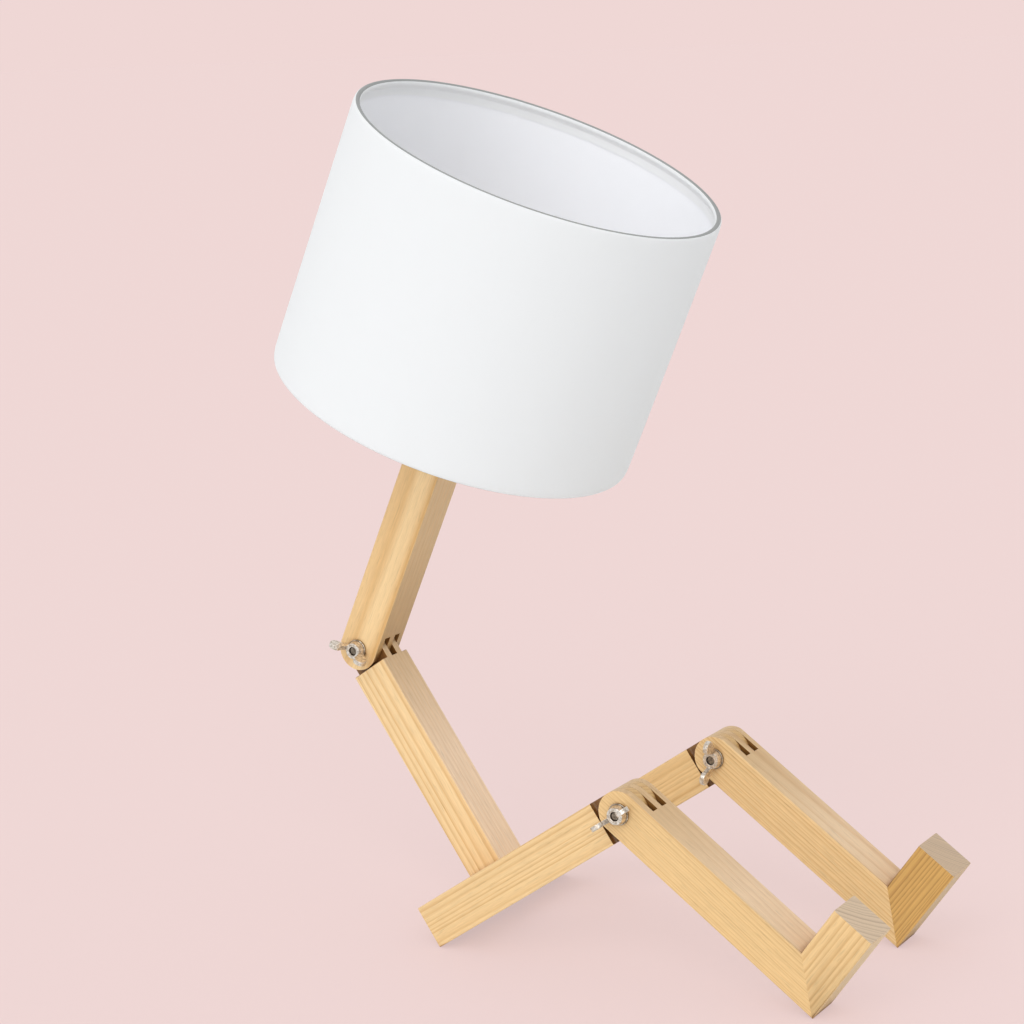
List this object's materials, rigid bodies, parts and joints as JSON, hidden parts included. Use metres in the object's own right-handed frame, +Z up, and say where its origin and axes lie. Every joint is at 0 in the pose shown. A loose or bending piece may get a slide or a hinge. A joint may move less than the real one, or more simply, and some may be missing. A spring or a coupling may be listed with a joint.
{
  "type": "desk lamp",
  "caption": "Wooden desk lamp shaped like a sitting figure: square pine limbs on wing-nut finger joints, and a white drum shade for its head.",
  "frame": {"origin": "centre of the box's underside, on the table below the middle of the lamp", "axes": "+Z up, the figure faces -Y, and its left side is +X"},
  "size_m": [0.211, 0.3789, 0.4792],
  "materials": {
    "pine": "satin clear-lacquered pine",
    "dowel_wood": "plain beech dowel",
    "zinc": "bright zinc plate",
    "rubber": "moulded rubber",
    "holder_plastic": "moulded white thermoplastic",
    "ceramic": "glazed steatite",
    "brass": "drawn brass",
    "shade_wire": "white powder coat",
    "shade_fabric": "white cotton weave",
    "shade_liner": "white styrene liner",
    "bulb_metal": "nickel-plated cap",
    "bulb_insulator": "black glass-like insulator",
    "bulb_plastic": "white heat-sink plastic",
    "led_board": "white solder mask on aluminium",
    "bulb_opal": "opal diffuser"
  },
  "bodies": {
    "seat": {"hip_crossbar": "pine", "thigh_right": "pine", "thigh_left": "pine", "torso_arm": "pine", "hip_dowels": "dowel_wood", "torso_dowels": "dowel_wood", "torso_screw": "zinc"},
    "leg_right": {"shin_right": "pine", "foot_right": "pine", "mitre_dowel_right": "dowel_wood", "knee_bolt_right": "zinc"},
    "leg_left": {"shin_left": "pine", "foot_left": "pine", "mitre_dowel_left": "dowel_wood", "knee_bolt_left": "zinc"},
    "neck": {"neck_arm": "pine", "neck_bolt": "zinc", "cable_grommet": "rubber", "threaded_nipple": "zinc", "nipple_washer": "zinc", "nipple_locknut": "zinc", "holder_cap": "holder_plastic", "cap_lock_screw": "zinc", "holder_shell": "holder_plastic", "holder_insert": "ceramic", "holder_screw_shell": "brass", "holder_contact": "brass", "terminal_screws": "brass", "shade_ring": "holder_plastic", "shade_spider": "shade_wire", "shade_bottom_ring": "shade_wire", "shade_top_ring": "shade_wire", "shade_fabric": "shade_fabric", "shade_liner": "shade_liner", "bulb_cap": "bulb_metal", "bulb_insulator": "bulb_insulator", "bulb_contact": "bulb_metal", "bulb_housing": "bulb_plastic", "bulb_led_board": "led_board", "bulb_dome": "bulb_opal"},
    "washer_right": {"knee_washer_right": "zinc"},
    "nut_right": {"knee_wing_nut_right": "zinc"},
    "washer_left": {"knee_washer_left": "zinc"},
    "nut_left": {"knee_wing_nut_left": "zinc"},
    "washer_neck": {"neck_washer": "zinc"},
    "nut_neck": {"neck_wing_nut": "zinc"}
  },
  "joints": [
    {"name": "neck_pivot", "type": "hinge", "parent": "seat", "child": "neck", "pos_m": [0, 0.15815, 0.15032], "axis": [1, 0, 0], "range_deg": [-148.2, 31.8]},
    {"name": "knee_right", "type": "hinge", "parent": "seat", "child": "leg_right", "pos_m": [-0.0555, -0.04606, 0.09465], "axis": [1, 0, 0], "range_deg": [-69.7, 20.3]},
    {"name": "knee_left", "type": "hinge", "parent": "seat", "child": "leg_left", "pos_m": [0.0555, -0.04606, 0.09465], "axis": [1, 0, 0], "range_deg": [-69.7, 20.3]},
    {"name": "washer_lift_right", "type": "slide", "parent": "leg_right", "child": "washer_right", "axis": [-1, 0, 0], "range_m": [0, 0.0024]},
    {"name": "nut_turn_right", "type": "hinge", "parent": "washer_right", "child": "nut_right", "pos_m": [-0.0555, -0.04606, 0.09465], "axis": [-1, 0, 0], "range_deg": [0, 1080]},
    {"name": "washer_lift_left", "type": "slide", "parent": "leg_left", "child": "washer_left", "axis": [-1, 0, 0], "range_m": [0, 0.0024]},
    {"name": "nut_turn_left", "type": "hinge", "parent": "washer_left", "child": "nut_left", "pos_m": [0.0555, -0.04606, 0.09465], "axis": [-1, 0, 0], "range_deg": [0, 1080]},
    {"name": "washer_lift_neck", "type": "slide", "parent": "neck", "child": "washer_neck", "axis": [-1, 0, 0], "range_m": [0, 0.0024]},
    {"name": "nut_turn_neck", "type": "hinge", "parent": "washer_neck", "child": "nut_neck", "pos_m": [0, 0.15815, 0.15032], "axis": [-1, 0, 0], "range_deg": [0, 1080]}
  ],
  "couplings": [
    {"joint": "nut_turn_right", "follows": "washer_lift_right", "rad_per_m": 7854},
    {"joint": "nut_turn_left", "follows": "washer_lift_left", "rad_per_m": 7854},
    {"joint": "nut_turn_neck", "follows": "washer_lift_neck", "rad_per_m": 7854}
  ]
}
